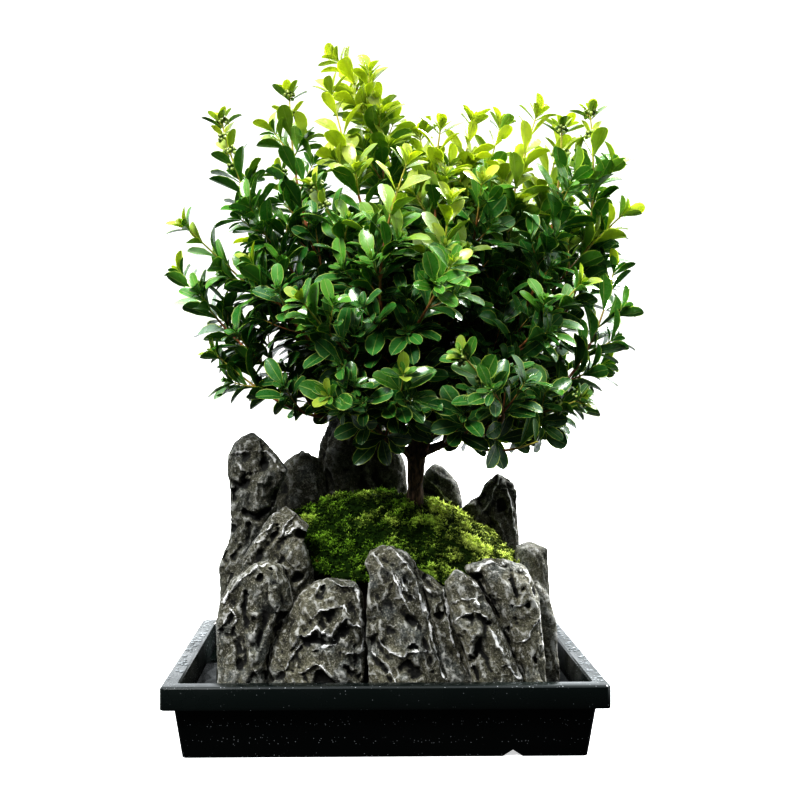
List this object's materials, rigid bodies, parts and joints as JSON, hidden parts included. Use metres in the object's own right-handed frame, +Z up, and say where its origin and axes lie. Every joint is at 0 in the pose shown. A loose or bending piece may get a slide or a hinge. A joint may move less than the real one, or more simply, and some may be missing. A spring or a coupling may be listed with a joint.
{
  "type": "potted syzygium buxifolium bonsai",
  "caption": "Small-leaved evergreen bonsai on a mossy mound inside a ring of upright limestone pieces, standing in shallow water in a black plastic tray, with leafy sprays and flower buds.",
  "frame": {"origin": "middle of the tray's underside, on the plane that it stands on", "axes": "+Z up, +X to the right and +Y to the back as seen from the front"},
  "size_m": [0.3565, 0.2707, 0.5155],
  "materials": {
    "tray_plastic": "near-black moulded plastic, satin, with fine pale specks",
    "water": "still clear water, dark over the black tray",
    "limestone": "rough weathered limestone, pitted, with white calcite veins",
    "soil": "dark damp planting soil",
    "moss": "dense cushion moss, yellow-green to dark green",
    "bark": "brown bark, rough and fissured on the trunk",
    "leaf_mature": "glossy leathery leaf, dark green",
    "leaf_young": "glossy young leaf, yellow-green"
  },
  "bodies": {
    "root": {"water_tray": "tray_plastic", "tray_water": "water", "stone_front_left_low": "limestone", "stone_front_gable": "limestone", "stone_front_tall": "limestone", "stone_front_lobed": "limestone", "stone_front_round": "limestone", "stone_front_narrow": "limestone", "stone_front_left_high": "limestone", "stone_left_pillar": "limestone", "stone_back_peak": "limestone", "stone_back_right": "limestone", "stone_right_peak": "limestone", "stone_back_left_low": "limestone", "stone_left_back": "limestone", "stone_right_low": "limestone", "stone_right_slab": "limestone", "soil_bed": "soil", "moss_cushion": "moss", "trunk_and_limbs": "bark", "spray_01": "leaf_mature", "spray_02": "leaf_mature", "spray_03": "leaf_mature", "spray_04": "leaf_mature", "spray_05": "leaf_mature", "spray_06": "leaf_mature", "spray_07": "leaf_mature", "spray_08": "leaf_mature", "spray_09": "leaf_young", "spray_10": "leaf_young", "spray_11": "leaf_mature", "spray_12": "leaf_young", "spray_13": "leaf_young", "spray_14": "leaf_mature", "spray_15": "leaf_mature", "spray_16": "leaf_mature", "spray_17": "leaf_young", "spray_18": "leaf_young", "spray_19": "leaf_young", "spray_20": "leaf_mature", "spray_21": "leaf_mature", "spray_22": "leaf_young", "spray_23": "leaf_mature", "spray_24": "leaf_mature", "spray_25": "leaf_young", "spray_26": "leaf_young", "spray_27": "leaf_mature", "spray_28": "leaf_mature", "spray_29": "leaf_mature", "spray_30": "leaf_mature", "spray_31": "leaf_mature", "spray_32": "leaf_mature", "spray_33": "leaf_mature", "spray_34": "leaf_mature", "spray_35": "leaf_mature", "spray_36": "leaf_mature", "spray_37": "leaf_mature", "spray_38": "leaf_mature", "spray_39": "leaf_mature", "spray_40": "leaf_mature"}
  },
  "joints": []
}
